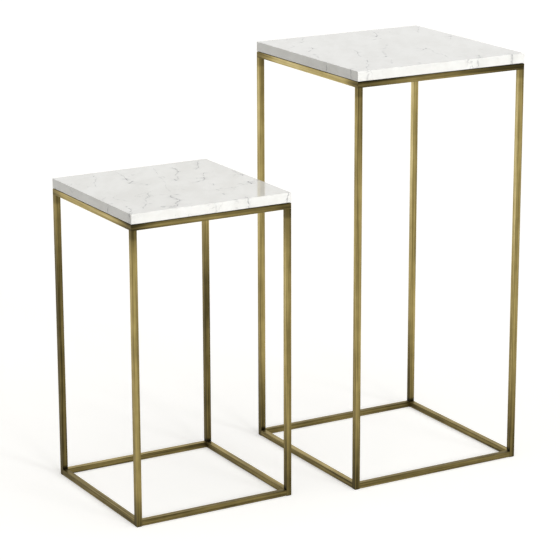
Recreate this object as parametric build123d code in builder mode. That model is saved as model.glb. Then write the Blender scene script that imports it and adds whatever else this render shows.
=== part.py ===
from build123d import *

import os

# A pair of square nesting side tables. Each is a polished stone slab on a welded frame of
# square tube: a mitred ring under the slab, four legs under the ring's corners and four base
# rails between the legs at floor level. The small table is lifted in under the tall one.

# Driving dimensions, in millimetres
TALL_WIDTH = 340.0  # side of the tall table's square top
TALL_HEIGHT = 740.0  # floor to the top of its slab
SMALL_WIDTH = 300.0
SMALL_HEIGHT = 540.0
STAND_GAP = 108.0  # clear floor between the two tables
STAND_SHIFT = 15.0  # the small table stands this far behind the tall one's centre line

TUBE = 10.0  # outside of the square tube
WALL = 1.0
TUBE_RADIUS = 0.5  # outside corners of the tube
CORNER_FLAT = 0.3  # the ring's mitred corners are dressed back this far along each side

SLAB = 17.0  # stone thickness
ARRIS = 0.8  # bevel on the slab's edges

STRIP = 1.0  # thickness of the cushion strips on the ring
STRIP_WIDTH = 6.0

TAB_SIDE = 28.0  # sides of the corner tab that are welded to the ring
TAB_TIP = 5.0  # blunt ends of the tab
TAB_PLATE = 2.0
TAB_DROP = 3.0  # ring's top face down to the tab
SCREW_INSET = 11.0  # screw from each welded side of the tab

SCREW = 4.0
SCREW_HOLE_ROOM = 0.25  # around the shank, in the tab
HEAD = 7.6
HEAD_HEIGHT = 2.2
SOCKET = 2.5  # hexagon key, across the flats
SOCKET_DEPTH = 1.3

INSERT = 8.0
INSERT_LENGTH = 10.0
THREAD_ROOM = 0.05  # between shank and insert
BED_ROOM = 0.1  # adhesive around the insert
BED_DEPTH = 0.5  # adhesive above the insert
SCREW_SHORT = 0.5  # the screw ends this far below the insert's top

FOOT = 1.0  # glide plate that the frame stands on
FOOT_INSET = 0.5  # glide plate inside the tube's outline
PLUG_DEPTH = 12.0
PLUG_ROOM = 0.1  # between plug and bore
PLUG_WALL = 1.2  # the plug is hollow, open at its top

# Name of each side, name of the corner at its left end seen from outside, and its turn
SIDES = (
    ("front", "front_left", 0),
    ("right", "front_right", 90),
    ("back", "back_right", 180),
    ("left", "back_left", 270),
)

BORE = TUBE - 2 * WALL
PLUG = BORE - 2 * PLUG_ROOM

# The tables stand side by side, with the origin on the floor under the middle of the pair
pair_left = -TALL_WIDTH / 2 - STAND_GAP - SMALL_WIDTH
pair_middle = (pair_left + TALL_WIDTH / 2) / 2
pair_front = min(-TALL_WIDTH / 2, STAND_SHIFT - SMALL_WIDTH / 2)
pair_back = max(TALL_WIDTH / 2, STAND_SHIFT + SMALL_WIDTH / 2)
pair_depth_middle = (pair_front + pair_back) / 2
TALL_PLACE = (-pair_middle, -pair_depth_middle)
SMALL_PLACE = (pair_left + SMALL_WIDTH / 2 - pair_middle, STAND_SHIFT - pair_depth_middle)


def save(name, piece):
    """Labels a finished piece and writes it to its own file."""
    piece.part.label = name
    export_step(piece.part, f"parts/{name}.step")


def draw_tube():
    """Draws the tube's section in the open sketch: a rounded square less its square bore."""
    RectangleRounded(TUBE, TUBE, TUBE_RADIUS)
    Rectangle(BORE, BORE, mode=Mode.SUBTRACT)


class Table:
    """One table: its square outline, its place on the floor and the heights of its layers."""

    def __init__(self, name, width, height, place):
        self.name = name
        self.width = width
        self.half = width / 2
        self.place = place
        self.slab_bottom = height - SLAB
        self.ring_top = self.slab_bottom - STRIP
        self.ring_bottom = self.ring_top - TUBE
        self.tab_bottom = self.ring_top - TAB_DROP - TAB_PLATE
        self.screw_pitch = width - 2 * (TUBE + SCREW_INSET)

    def level(self, height):
        """Horizontal plane over the table's middle."""
        return Plane((*self.place, height))

    def side(self, turn):
        """Floor plane at the table's middle, with X along a side and Y in from that side."""
        return Plane((*self.place, 0), x_dir=Vector(1, 0, 0).rotate(Axis.Z, turn))

    def save(self, piece_name, piece):
        save(f"{self.name}_{piece_name}", piece)


def make_slab(table):
    """Polished slab with arrised edges and four blind holes for the inserts."""
    with BuildPart() as slab:
        with BuildSketch(table.level(table.slab_bottom)):
            Rectangle(table.width, table.width)
        extrude(amount=SLAB)
        chamfer(slab.edges(), ARRIS)
        with Locations(Plane((*table.place, table.slab_bottom), z_dir=(0, 0, -1))):
            with GridLocations(table.screw_pitch, table.screw_pitch, 2, 2):
                Hole(INSERT / 2 + BED_ROOM, INSERT_LENGTH + BED_DEPTH)
    return slab


def make_top_rail(table, side):
    """Rail of the ring: a full side of tube, mitred at both ends, with its corners dressed flat."""
    line = -table.half + TUBE / 2
    start = side.from_local_coords((-table.half, line, table.ring_bottom + TUBE / 2))
    left_corner = side.from_local_coords((-table.half, -table.half, 0))
    right_corner = side.from_local_coords((table.half, -table.half, 0))
    left_flat = side.from_local_coords((-table.half + CORNER_FLAT, -table.half, 0))
    right_flat = side.from_local_coords((table.half - CORNER_FLAT, -table.half, 0))
    with BuildPart() as rail:
        with BuildSketch(Plane(start, x_dir=side.y_dir, z_dir=side.x_dir)):
            draw_tube()
        extrude(amount=table.width)
        split(bisect_by=Plane(left_corner, z_dir=side.x_dir - side.y_dir))
        split(bisect_by=Plane(right_corner, z_dir=-side.x_dir - side.y_dir))
        split(bisect_by=Plane(left_flat, z_dir=side.x_dir + side.y_dir))
        split(bisect_by=Plane(right_flat, z_dir=-side.x_dir + side.y_dir))
    return rail


def make_base_rail(table, side):
    """Rail at floor level, butted between two legs."""
    line = -table.half + TUBE / 2
    start = side.from_local_coords((-table.half + TUBE, line, FOOT + TUBE / 2))
    with BuildPart() as rail:
        with BuildSketch(Plane(start, x_dir=side.y_dir, z_dir=side.x_dir)):
            draw_tube()
        extrude(amount=table.width - 2 * TUBE)
    return rail


def make_leg(table, side):
    """Leg from the glide up to the underside of the ring's corner."""
    line = -table.half + TUBE / 2
    with BuildPart() as leg:
        with BuildSketch(Plane(side.from_local_coords((line, line, FOOT)), x_dir=side.x_dir)):
            draw_tube()
        extrude(amount=table.ring_bottom - FOOT)
    return leg


def make_glide(table, side):
    """Hollow square plug in the leg's open end, with the plate that the leg stands on."""
    line = -table.half + TUBE / 2
    with BuildPart() as glide:
        with BuildSketch(Plane(side.from_local_coords((line, line, 0)), x_dir=side.x_dir)):
            Rectangle(TUBE - 2 * FOOT_INSET, TUBE - 2 * FOOT_INSET)
        extrude(amount=FOOT)
        with BuildSketch(Plane(side.from_local_coords((line, line, FOOT)), x_dir=side.x_dir)):
            Rectangle(PLUG, PLUG)
            offset(amount=-PLUG_WALL, mode=Mode.SUBTRACT)
        extrude(amount=PLUG_DEPTH)
    return glide


def make_tab(table, side):
    """Three-sided plate in the ring's inside corner, drilled for the slab's screw."""
    corner = -table.half + TUBE
    place = side.from_local_coords((corner, corner, table.tab_bottom))
    with BuildPart() as tab:
        with BuildSketch(Plane(place, x_dir=side.x_dir)):
            with BuildLine():
                Polyline(
                    (0, 0),
                    (TAB_SIDE, 0),
                    (TAB_SIDE, TAB_TIP),
                    (TAB_TIP, TAB_SIDE),
                    (0, TAB_SIDE),
                    close=True,
                )
            make_face()
            with Locations((SCREW_INSET, SCREW_INSET)):
                Circle(SCREW / 2 + SCREW_HOLE_ROOM, mode=Mode.SUBTRACT)
        extrude(amount=TAB_PLATE)
    return tab


def make_strip(table, side):
    """Cushion strip on a rail, from its left end up to the strip on the next rail."""
    line = -table.half + TUBE / 2
    length = table.width - TUBE
    place = side.from_local_coords((-STRIP_WIDTH / 2, line, table.ring_top))
    with BuildPart() as strip:
        with BuildSketch(Plane(place, x_dir=side.x_dir)):
            Rectangle(length, STRIP_WIDTH)
        extrude(amount=STRIP)
    return strip


def make_screws(table):
    """Four low-head socket screws, up through the tabs into the inserts."""
    length = TAB_PLATE + TAB_DROP + STRIP + INSERT_LENGTH - SCREW_SHORT
    head_bottom = table.level(table.tab_bottom - HEAD_HEIGHT)
    with BuildPart() as screws:
        with BuildSketch(head_bottom):
            with GridLocations(table.screw_pitch, table.screw_pitch, 2, 2):
                Circle(HEAD / 2)
        extrude(amount=HEAD_HEIGHT)
        with BuildSketch(head_bottom):
            with GridLocations(table.screw_pitch, table.screw_pitch, 2, 2):
                RegularPolygon(SOCKET / 2, 6, major_radius=False)
        extrude(amount=SOCKET_DEPTH, mode=Mode.SUBTRACT)
        with BuildSketch(table.level(table.tab_bottom)):
            with GridLocations(table.screw_pitch, table.screw_pitch, 2, 2):
                Circle(SCREW / 2)
        extrude(amount=length)
    return screws


def make_inserts(table):
    """Four threaded inserts, flush with the slab's underside."""
    with BuildPart() as inserts:
        with BuildSketch(table.level(table.slab_bottom)):
            with GridLocations(table.screw_pitch, table.screw_pitch, 2, 2):
                Circle(INSERT / 2)
                Circle(SCREW / 2 + THREAD_ROOM, mode=Mode.SUBTRACT)
        extrude(amount=INSERT_LENGTH)
    return inserts


def make_table(table):
    """Makes and writes every piece of one table."""
    table.save("marble_top", make_slab(table))
    table.save("top_screws", make_screws(table))
    table.save("thread_inserts", make_inserts(table))
    for side_name, corner_name, turn in SIDES:
        side = table.side(turn)
        table.save(f"top_rail_{side_name}", make_top_rail(table, side))
        table.save(f"base_rail_{side_name}", make_base_rail(table, side))
        table.save(f"cushion_strip_{side_name}", make_strip(table, side))
        table.save(f"leg_{corner_name}", make_leg(table, side))
        table.save(f"foot_glide_{corner_name}", make_glide(table, side))
        table.save(f"corner_tab_{corner_name}", make_tab(table, side))


os.makedirs("parts", exist_ok=True)
make_table(Table("tall", TALL_WIDTH, TALL_HEIGHT, TALL_PLACE))
make_table(Table("small", SMALL_WIDTH, SMALL_HEIGHT, SMALL_PLACE))
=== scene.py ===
"""Looks of a pair of nesting side tables: polished stone slabs on welded frames of antique brass tube."""

import logging
import math
from abc import ABC, abstractmethod
from collections.abc import Callable
from dataclasses import dataclass, field
from enum import Enum

import bpy
from mathutils import Matrix, Quaternion, Vector


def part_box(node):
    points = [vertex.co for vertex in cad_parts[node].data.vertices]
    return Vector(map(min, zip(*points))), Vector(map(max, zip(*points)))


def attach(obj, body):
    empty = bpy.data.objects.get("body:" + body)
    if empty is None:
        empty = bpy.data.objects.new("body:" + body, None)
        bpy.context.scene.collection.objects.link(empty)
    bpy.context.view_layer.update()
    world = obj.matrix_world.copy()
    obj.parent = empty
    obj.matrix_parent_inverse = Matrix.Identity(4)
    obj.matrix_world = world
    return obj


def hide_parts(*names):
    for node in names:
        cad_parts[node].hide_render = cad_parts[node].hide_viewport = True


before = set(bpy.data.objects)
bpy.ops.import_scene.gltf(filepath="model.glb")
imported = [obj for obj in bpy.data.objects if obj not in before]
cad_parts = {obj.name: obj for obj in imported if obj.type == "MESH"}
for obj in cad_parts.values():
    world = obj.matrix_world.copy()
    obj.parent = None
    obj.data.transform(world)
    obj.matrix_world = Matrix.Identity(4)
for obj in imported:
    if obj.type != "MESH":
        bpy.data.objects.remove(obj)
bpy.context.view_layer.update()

log = logging.getLogger("nesting_tables")

MM = 0.001
QUARTER_TURN = math.pi / 2
SMOOTH_ANGLE = math.radians(32)
FLAT_WEIGHT = 100  # how much more large faces count in the normals than small ones
MERGE = 0.002 * MM  # points nearer than this become one
TOUCH = 0.01 * MM  # a point this near to a plane lies on it
FACING = 0.9  # share of a unit vector that counts as along an axis
UNIT = (0.0, 1.0)
COOL_WHITE = (0.96, 0.975, 1.0)
WARM_WHITE = (1.0, 0.995, 0.965)
NOISE_MIDDLE = 0.5
# Attribute of the tubes' uneven patina together with painted light and shade
PATINA_AND_SHADE = "antiquing"
# Attribute of painted shade over a rail's upper half, under the slab
RIM_SHADE = "rim"

Piece = bpy.types.Object
Material = bpy.types.Material
Tree = bpy.types.NodeTree
Node = bpy.types.Node
Outputs = bpy.types.NodeOutputs
Socket = bpy.types.NodeSocket
Colour = tuple[float, float, float, float]
Pair = tuple[float, float]
Triple = tuple[float, float, float]
Feed = Socket | Vector | tuple | float
Inputs = dict[str | int, Feed]
PointTest = Callable[[Vector, Vector], bool]


class Slot(Enum):
    """Material slots of the record."""

    MARBLE = "marble"
    BRASS = "antique_brass"
    RUBBER = "cushion_rubber"
    PLASTIC = "glide_plastic"
    ZINC = "zinc_steel"
    INSERT = "insert_brass"


class Run(Enum):
    """Direction that a tube runs in, as the index of its axis."""

    ACROSS = 0
    DEEP = 1
    UPRIGHT = 2

    @property
    def title(self) -> str:
        """The direction's name in the names of materials."""
        return self.name.lower()

    @property
    def along(self) -> Vector:
        """Unit vector in this direction."""
        return Vector([float(i == self.value) for i in range(3)])


class Side(Enum):
    """Sides of a table, each with the corner at its left end, as quarter turns from the front."""

    FRONT = 0
    RIGHT = 1
    BACK = 2
    LEFT = 3

    @property
    def title(self) -> str:
        """The side's name in the names of rails and strips."""
        return self.name.lower()

    @property
    def corner(self) -> str:
        """Name of the corner at the side's left end, seen from outside."""
        return ("front_left", "front_right", "back_right", "back_left")[self.value]

    @property
    def run(self) -> Run:
        """Direction that the side's rails run in."""
        return Run(self.value % 2)


class Repeat(Enum):
    """Pieces that a table has four of, by the first words of their nodes' names."""

    LEG = "leg"
    BASE_RAIL = "base_rail"
    TOP_RAIL = "top_rail"
    STRIP = "cushion_strip"
    TAB = "corner_tab"
    GLIDE = "foot_glide"

    @property
    def at_corners(self) -> bool:
        """Whether the pieces are at the table's corners and not at its sides."""
        return self in (Repeat.LEG, Repeat.TAB, Repeat.GLIDE)

    def node(self, side: Side) -> str:
        """Name of the node at a side, or at the corner at its left end, without the table's name."""
        return f"{self.value}_{side.corner if self.at_corners else side.title}"


# Work on one mesh


def deselect_all() -> None:
    """Leaves edit mode with nothing selected, so that an operator acts on one piece alone."""
    if bpy.context.object and bpy.context.object.mode != "OBJECT":
        bpy.ops.object.mode_set(mode="OBJECT")
    bpy.ops.object.select_all(action="DESELECT")


def take_up(piece: Piece) -> None:
    """Makes a piece the only selected one and the active one.

    Args:
        piece: The piece to work on.
    """
    deselect_all()
    piece.select_set(True)
    bpy.context.view_layer.objects.active = piece


def name_piece(name: str) -> Piece:
    """Sets the place of the new active object into its mesh, and names it.

    Args:
        name: Name of the piece.

    Returns:
        The piece, at the origin, unturned and unscaled.
    """
    bpy.ops.object.transform_apply(location=True, rotation=True, scale=True)
    piece = bpy.context.object
    piece.name = name
    piece.data.name = name
    return piece


def add_block(name: str, low: Vector, high: Vector) -> Piece:
    """Adds a block between two corners, the start of a sawn or drawn piece.

    Args:
        name: Name of the piece.
        low: Lowest corner, in metres.
        high: Highest corner.

    Returns:
        The new block.
    """
    deselect_all()
    bpy.ops.mesh.primitive_cube_add(size=1.0, location=(low + high) / 2, scale=high - low)
    return name_piece(name)


def add_round(name: str, foot: Vector, radius: float, height: float, sides: int) -> Piece:
    """Adds an upright round or many-sided bar, the start of a turned piece.

    Args:
        name: Name of the piece.
        foot: Middle of its lower end.
        radius: Radius to its corners.
        height: Length upwards.
        sides: Number of sides.

    Returns:
        The new bar.
    """
    deselect_all()
    middle = foot + Vector((0.0, 0.0, height / 2))
    bpy.ops.mesh.primitive_cylinder_add(vertices=sides, radius=radius, depth=height, location=middle)
    return name_piece(name)


def clear_picks(piece: Piece, faces: bool) -> bpy.types.Mesh:
    """Takes up a piece with no part of its mesh selected.

    Args:
        piece: The piece in work.
        faces: Whether faces are selected next, and not edges.

    Returns:
        The piece's mesh.
    """
    take_up(piece)
    bpy.context.tool_settings.mesh_select_mode = (False, not faces, faces)
    mesh = piece.data
    for part in (*mesh.vertices, *mesh.edges, *mesh.polygons):
        part.select = False
    return mesh


def pick_edges(piece: Piece, test: PointTest) -> None:
    """Enters edit mode with only those edges selected whose two ends pass a test.

    Args:
        piece: The piece in work.
        test: Takes the two ends of an edge.
    """
    mesh = clear_picks(piece, faces=False)
    for edge in mesh.edges:
        start, end = (mesh.vertices[i].co for i in edge.vertices)
        edge.select = test(start, end)
    bpy.ops.object.mode_set(mode="EDIT")


def pick_faces(piece: Piece, test: PointTest) -> None:
    """Enters edit mode with only those faces selected that pass a test.

    Args:
        piece: The piece in work.
        test: Takes a face's centre and its normal.
    """
    mesh = clear_picks(piece, faces=True)
    for face in mesh.polygons:
        face.select = test(face.center, face.normal)
    bpy.ops.object.mode_set(mode="EDIT")


def pick_all(piece: Piece) -> None:
    """Enters edit mode with the whole mesh selected.

    Args:
        piece: The piece in work.
    """
    clear_picks(piece, faces=False)
    bpy.ops.object.mode_set(mode="EDIT")
    bpy.ops.mesh.select_all(action="SELECT")


def round_off(radius: float, steps: int) -> None:
    """Rounds the selected edges of the piece in edit mode, in a number of steps."""
    bpy.ops.mesh.bevel(offset=radius, segments=steps, profile=0.5, affect="EDGES")


def draw_out(way: Vector) -> None:
    """Extrudes the selected faces of the piece in edit mode."""
    bpy.ops.mesh.extrude_region_move(TRANSFORM_OT_translate={"value": way})


def shave(piece: Piece, spot: Vector, normal: Vector) -> None:
    """Takes off what lies beyond a plane through a spot, and closes the cut."""
    pick_all(piece)
    bpy.ops.mesh.bisect(plane_co=spot, plane_no=normal, clear_outer=True, use_fill=True)


def apply_modifier(piece: Piece, kind: str, **settings: object) -> None:
    """Adds a modifier to a piece, sets it and applies it.

    Args:
        piece: The piece in work.
        kind: Blender's name for the kind of modifier.
        **settings: Values of the modifier's properties.
    """
    take_up(piece)
    modifier = piece.modifiers.new(kind.lower(), kind)
    for name, value in settings.items():
        setattr(modifier, name, value)
    bpy.ops.object.modifier_apply(modifier=modifier.name)


def cut_out(piece: Piece, cutter: Piece) -> None:
    """Cuts one piece's shape out of another and throws the cutter away."""
    apply_modifier(piece, "BOOLEAN", object=cutter, operation="DIFFERENCE", solver="EXACT")
    bpy.data.meshes.remove(cutter.data)


def is_inside_out(mesh: bpy.types.Mesh) -> bool:
    """Tells whether the faces of a closed mesh point inwards, by the sign of its volume.

    Args:
        mesh: A mesh without gaps, its faces all one way round.

    Returns:
        True for a negative volume.
    """
    mesh.calc_loop_triangles()
    volume = 0.0
    for triangle in mesh.loop_triangles:
        first, second, third = (mesh.vertices[i].co for i in triangle.vertices)
        volume += first.dot(second.cross(third))
    return volume < 0.0


def close_up(piece: Piece) -> None:
    """Merges doubled points, turns all faces outwards and smooths the edges, with the flats kept flat.

    Args:
        piece: The piece, modelled to the end.
    """
    pick_all(piece)
    bpy.ops.mesh.remove_doubles(threshold=MERGE)
    bpy.ops.mesh.normals_make_consistent(inside=False)
    bpy.ops.object.mode_set(mode="OBJECT")
    if is_inside_out(piece.data):
        piece.data.flip_normals()
    bpy.ops.object.shade_smooth_by_angle(angle=SMOOTH_ANGLE)
    apply_modifier(piece, "WEIGHTED_NORMAL", keep_sharp=True, weight=FLAT_WEIGHT)


def copy_turned(piece: Piece, name: str, axis: Vector, quarters: int) -> Piece:
    """Copies a piece, with a mesh of its own, turned about an upright axis.

    Args:
        piece: The piece to copy.
        name: Name of the copy.
        axis: A point on the axis.
        quarters: Number of quarter turns, anticlockwise from above.

    Returns:
        The copy.
    """
    mesh = piece.data.copy()
    turn = Matrix.Rotation(quarters * QUARTER_TURN, 4, "Z")
    mesh.transform(Matrix.Translation(axis) @ turn @ Matrix.Translation(-axis))
    mesh.name = name
    made = bpy.data.objects.new(name, mesh)
    bpy.context.scene.collection.objects.link(made)
    return made


def paint(piece: Piece, name: str, shade: Callable[[Vector], float]) -> None:
    """Writes a value at each point of a mesh, for its material to read.

    Args:
        piece: The finished piece.
        name: Name of the attribute.
        shade: Takes a point's place and gives its value.
    """
    attribute = piece.data.attributes.new(name, "FLOAT", "POINT")
    for point, item in zip(piece.data.vertices, attribute.data, strict=True):
        item.value = shade(point.co)


def smooth_step(share: float) -> float:
    """Eases a share from 0 to 1, held at both ends."""
    held = min(1.0, max(0.0, share))
    return held * held * (3.0 - 2.0 * held)


# Shader nodes


def feed(tree: Tree, node: Node, inputs: Inputs) -> None:
    """Feeds the inputs of a node.

    Args:
        tree: The node's tree.
        node: The node.
        inputs: For each input, by name or index, a value or the socket that feeds it.
    """
    for key, value in inputs.items():
        if isinstance(value, Socket):
            tree.links.new(value, node.inputs[key])
        else:
            node.inputs[key].default_value = value


def place(tree: Tree, kind: str, inputs: Inputs | None = None, **settings: object) -> Node:
    """Adds a node to a tree, sets it and feeds its inputs.

    Args:
        tree: Node tree of a material, a world or a group.
        kind: Blender's name for the kind of node, without its Shader prefix.
        inputs: Its inputs, as feed takes them.
        **settings: Values of the node's properties.

    Returns:
        The new node.
    """
    prefix = "" if kind in ("NodeGroupInput", "NodeGroupOutput") else "Shader"
    made = tree.nodes.new(f"{prefix}{kind}")
    for name, value in settings.items():
        setattr(made, name, value)
    feed(tree, made, inputs or {})
    return made


def use(tree: Tree, group: Tree, inputs: Inputs) -> Outputs:
    """Places a node group in a tree and gives its outputs."""
    return place(tree, "NodeGroup", inputs, node_tree=group).outputs


def calculate(tree: Tree, operation: str, *values: Feed) -> Socket:
    """Adds a Math node for one operation and gives its result."""
    return place(tree, "NodeMath", dict(enumerate(values)), operation=operation).outputs[0]


def combine(tree: Tree, operation: str, first: Feed, second: Feed) -> Socket:
    """Adds a Vector Math node for one operation and gives its result."""
    return place(tree, "NodeVectorMath", {0: first, 1: second}, operation=operation).outputs[0]


def add_noise(tree: Tree, vector: Socket, scale: Feed, detail: float, roughness: float = 0.5) -> Outputs:
    """Adds a Noise Texture node and gives its outputs."""
    inputs = {"Vector": vector, "Scale": scale, "Detail": detail, "Roughness": roughness}
    return place(tree, "NodeTexNoise", inputs).outputs


def turn_about(tree: Tree, vector: Socket, angle: Feed) -> Socket:
    """Adds a Vector Rotate node about the upright axis and gives the turned place."""
    inputs = {"Vector": vector, "Angle": angle}
    return place(tree, "NodeVectorRotate", inputs, rotation_type="Z_AXIS").outputs[0]


def stretch_place(tree: Tree, vector: Socket, run: Run, stretch: float) -> Socket:
    """Adds a Mapping node that draws a pattern out in one direction.

    Args:
        tree: Node tree to add it to.
        vector: Socket of the place.
        run: Direction to draw it out in.
        stretch: How many times as long the pattern gets.

    Returns:
        The socket with the place to lay the pattern on.
    """
    scale = Vector((1.0, 1.0, 1.0))
    scale[run.value] = 1.0 / stretch
    return place(tree, "NodeMapping", {"Vector": vector, "Scale": scale}).outputs[0]


def grade(tree: Tree, value: Socket, old: tuple[Feed, Feed], new: tuple[Feed, Feed]) -> Socket:
    """Adds a Map Range node that eases a value from one range to another, held at both ends.

    Args:
        tree: Node tree to add it to.
        value: Socket of the value.
        old: Start and end of the value's range.
        new: What they become.

    Returns:
        The socket with the result.
    """
    names = ("From Min", "From Max", "To Min", "To Max")
    inputs = {"Value": value} | dict(zip(names, (*old, *new), strict=True))
    return place(tree, "NodeMapRange", inputs, interpolation_type="SMOOTHSTEP").outputs["Result"]


def blend(tree: Tree, share: Feed, first: Feed, second: Feed, mode: str = "MIX") -> Socket:
    """Adds a Mix node for two colours, with share 0 for the first alone, and gives the blended one."""
    inputs = {0: share, 6: first, 7: second}
    return place(tree, "NodeMix", inputs, data_type="RGBA", blend_type=mode).outputs[2]


def start_group(name: str, inputs: dict[str, str], outputs: tuple[str, ...]) -> tuple[Tree, Outputs, Node]:
    """Starts a shader node group with named sockets.

    Args:
        name: Name of the group.
        inputs: Kind of socket for each input's name.
        outputs: Names of the outputs, all of them values.

    Returns:
        The group's tree, the outputs of its input node, and its output node.
    """
    tree = bpy.data.node_groups.new(name, "ShaderNodeTree")
    for way, sockets in (("INPUT", inputs), ("OUTPUT", dict.fromkeys(outputs, "Float"))):
        for socket, kind in sockets.items():
            tree.interface.new_socket(socket, in_out=way, socket_type=f"NodeSocket{kind}")
    return tree, place(tree, "NodeGroupInput").outputs, place(tree, "NodeGroupOutput")


def start_material(name: str) -> tuple[Material, Tree, Node]:
    """Starts a material.

    Args:
        name: Name of the material.

    Returns:
        The material, its node tree and its Principled shader.
    """
    material = bpy.data.materials.new(name)
    material.use_nodes = True
    tree = material.node_tree
    return material, tree, tree.nodes["Principled BSDF"]


class Effects:
    """Shader node groups that the finishes share, each built once."""

    MARK_RANGE = (0.3, 0.7)  # levels of the noise that a brush mark takes up
    SPECK_RANGE = (0.35, 0.7)
    VEIN_FULL = 0.7  # a vein has its full strength up to this share of its half length
    VEIN_GONE = 1.25  # and none from here on
    HAZE_REACH = 8.0  # width of the haze beside a vein, in widths of the vein
    HAZE = 0.29  # strength of the haze beside the seam

    def __init__(self) -> None:
        """Builds the groups."""
        self.brushing = self.build_brushing()
        self.mottle = self.build_mottle()
        self.grain = self.build_grain()
        self.vein = self.build_vein()

    def build_brushing(self) -> Tree:
        """Builds the marks of lengthwise brushing, on a place that is already stretched along them.

        Returns:
            The group, with broad and fine marks from 0 to 1.
        """
        inputs = {"Vector": "Vector", "Broad Scale": "Float", "Fine Scale": "Float"}
        tree, given, result = start_group("brushing", inputs, ("Broad", "Fine"))
        for name in ("Broad", "Fine"):
            noise = add_noise(tree, given["Vector"], given[f"{name} Scale"], detail=2.0)
            feed(tree, result, {name: grade(tree, noise["Fac"], self.MARK_RANGE, UNIT)})
        return tree

    def build_mottle(self) -> Tree:
        """Builds soft patches, as of a finish rubbed on by hand.

        Returns:
            The group, with a shift to both sides of 0.
        """
        inputs = {"Vector": "Vector", "Scale": "Float", "Amount": "Float"}
        tree, given, result = start_group("mottle", inputs, ("Shift",))
        noise = add_noise(tree, given["Vector"], given["Scale"], detail=3.0, roughness=0.6)
        centred = calculate(tree, "SUBTRACT", noise["Fac"], NOISE_MIDDLE)
        doubled = calculate(tree, "MULTIPLY", centred, 2.0)
        feed(tree, result, {"Shift": calculate(tree, "MULTIPLY", doubled, given["Amount"])})
        return tree

    def build_grain(self) -> Tree:
        """Builds the fine pebbled skin of moulded rubber and plastic.

        Returns:
            The group, with the pebbles' height and pale specks from 0 to 1.
        """
        inputs = {"Vector": "Vector", "Scale": "Float"}
        tree, given, result = start_group("grain", inputs, ("Height", "Speck"))
        pebbles = place(tree, "NodeTexVoronoi", {"Vector": given["Vector"], "Scale": given["Scale"]})
        noise = add_noise(tree, given["Vector"], given["Scale"], detail=4.0)
        specks = grade(tree, noise["Fac"], self.SPECK_RANGE, UNIT)
        feed(tree, result, {"Height": pebbles.outputs["Distance"], "Speck": specks})
        return tree

    def build_vein(self) -> Tree:
        """Builds one stretch of a vein: a thin upright seam through the slab with a pale haze beside it.

        Returns:
            The group, with the mask of this stretch and of those before it.
        """
        numbers = ("Heading", "Half Length", "Width", "Strength", "Before")
        inputs = {"Vector": "Vector", "Middle": "Vector"} | dict.fromkeys(numbers, "Float")
        tree, given, result = start_group("vein", inputs, ("Vein",))
        offset = combine(tree, "SUBTRACT", given["Vector"], given["Middle"])
        turned = turn_about(tree, offset, calculate(tree, "MULTIPLY", given["Heading"], -1.0))
        parts = place(tree, "NodeSeparateXYZ", {0: turned}).outputs
        along = calculate(tree, "ABSOLUTE", parts["X"])
        aside = calculate(tree, "ABSOLUTE", parts["Y"])
        full = calculate(tree, "MULTIPLY", given["Half Length"], self.VEIN_FULL)
        gone = calculate(tree, "MULTIPLY", given["Half Length"], self.VEIN_GONE)
        fade = grade(tree, along, (full, gone), (1.0, 0.0))
        seam = grade(tree, aside, (0.0, given["Width"]), (1.0, 0.0))
        reach = calculate(tree, "MULTIPLY", given["Width"], self.HAZE_REACH)
        haze = grade(tree, aside, (0.0, reach), (self.HAZE, 0.0))
        mark = calculate(tree, "MULTIPLY", calculate(tree, "MAXIMUM", seam, haze), fade)
        mark = calculate(tree, "MULTIPLY", mark, given["Strength"])
        feed(tree, result, {"Vein": calculate(tree, "MAXIMUM", mark, given["Before"])})
        return tree


# Finishes


@dataclass(frozen=True)
class Finish(ABC):
    """A finish of the tables, drawn as what feeds one Principled shader."""

    name: str

    @abstractmethod
    def draw(self, tree: Tree, effects: Effects) -> Inputs:
        """Draws the nodes of the finish.

        Args:
            tree: The material's node tree.
            effects: Shared node groups.

        Returns:
            What feeds the shader's inputs.
        """

    def material(self, effects: Effects) -> Material:
        """Makes the material.

        Args:
            effects: Shared node groups.

        Returns:
            The new material.
        """
        material, tree, shader = start_material(self.name)
        feed(tree, shader, self.draw(tree, effects))
        return material


@dataclass(frozen=True)
class Vein:
    """A stretch of vein in a slab, in millimetres from the slab's middle, seen from above."""

    start: Pair
    end: Pair
    strength: float
    width: float = 1.5


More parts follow.
